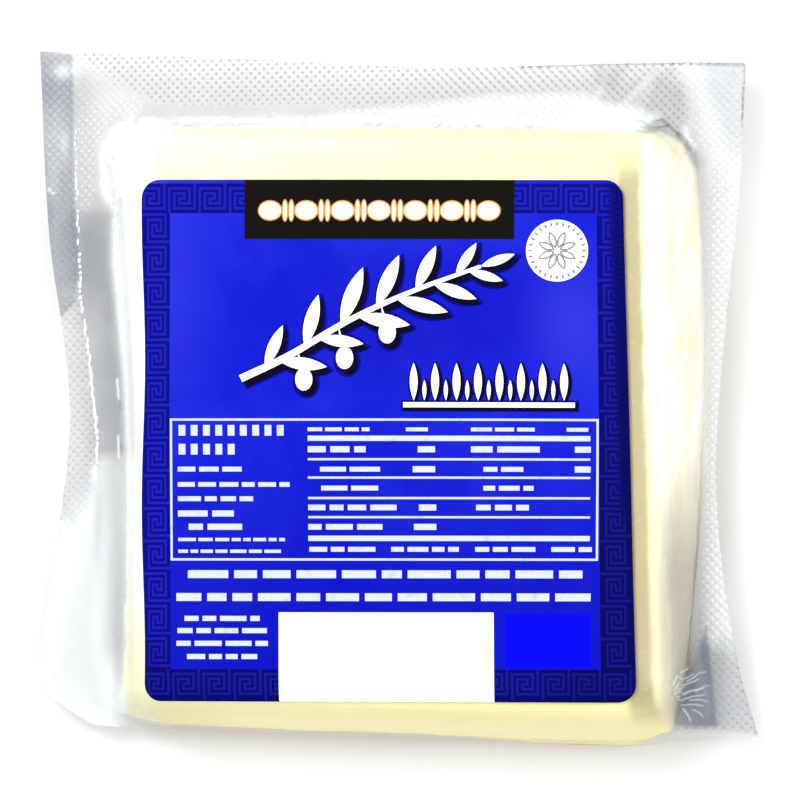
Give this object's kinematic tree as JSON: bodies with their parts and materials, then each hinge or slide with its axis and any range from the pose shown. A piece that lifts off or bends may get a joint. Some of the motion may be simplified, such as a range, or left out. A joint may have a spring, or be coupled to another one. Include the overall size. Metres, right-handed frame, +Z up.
{
  "type": "sealed feta block",
  "caption": "Square slab of white brined cheese sealed in a clear pouch with flat embossed margins, with a bordered label on its top.",
  "frame": {"origin": "middle of the pouch's outline, on the surface that the pack lies on", "axes": "+X towards the right of the label, +Y towards its top, +Z up out of the label"},
  "size_m": [0.1448, 0.1366, 0.0214],
  "materials": {
    "wrapped_cheese": "cream cheese seen through clear glossy film drawn tight by vacuum",
    "label_print": "smooth printed label, strong blue with a darker border",
    "cheese": "moist white to cream cheese, uneven and slightly crumbly at its edges",
    "film": "clear glossy pouch film, embossed with fine diamonds on its back sheet"
  },
  "bodies": {
    "root": {"pouch": "wrapped_cheese", "label": "label_print"}
  },
  "joints": []
}
